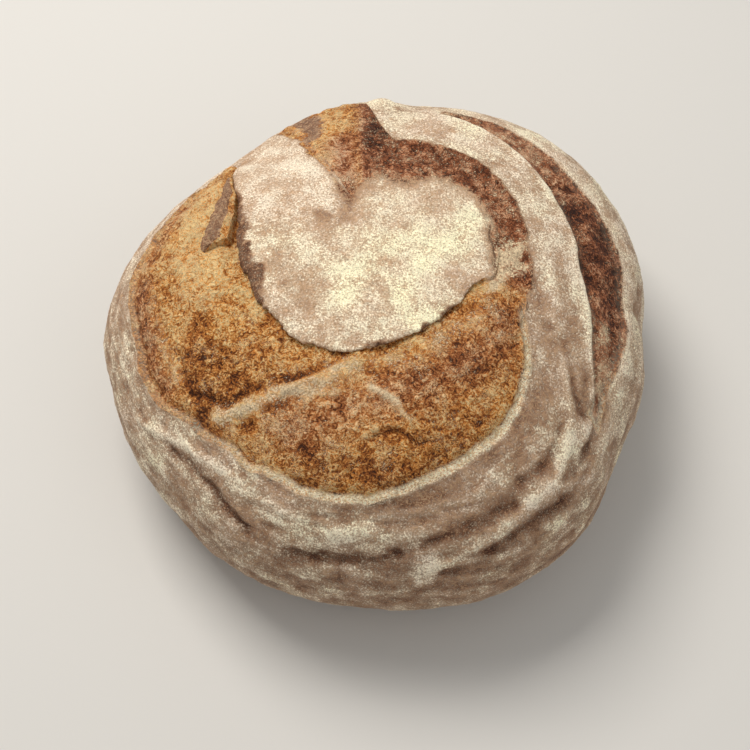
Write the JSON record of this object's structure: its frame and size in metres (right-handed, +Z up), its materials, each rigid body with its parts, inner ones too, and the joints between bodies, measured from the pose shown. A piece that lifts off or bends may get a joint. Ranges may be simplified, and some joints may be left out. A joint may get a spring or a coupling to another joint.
{
  "type": "italian country loaf",
  "caption": "Round hearth loaf with a floured crust, a loose lid over a wide torn burst, a second narrow burst along one side and a flat base",
  "frame": {"origin": "on the flat base, on the loaf's vertical axis", "axes": "+Z up, the front with the wide burst towards -Y, +X to the right seen from the front"},
  "size_m": [0.2518, 0.2548, 0.1184],
  "materials": {
    "crust": "baked crust dusted with flour, matte"
  },
  "bodies": {
    "root": {"loaf": "crust"}
  },
  "joints": []
}
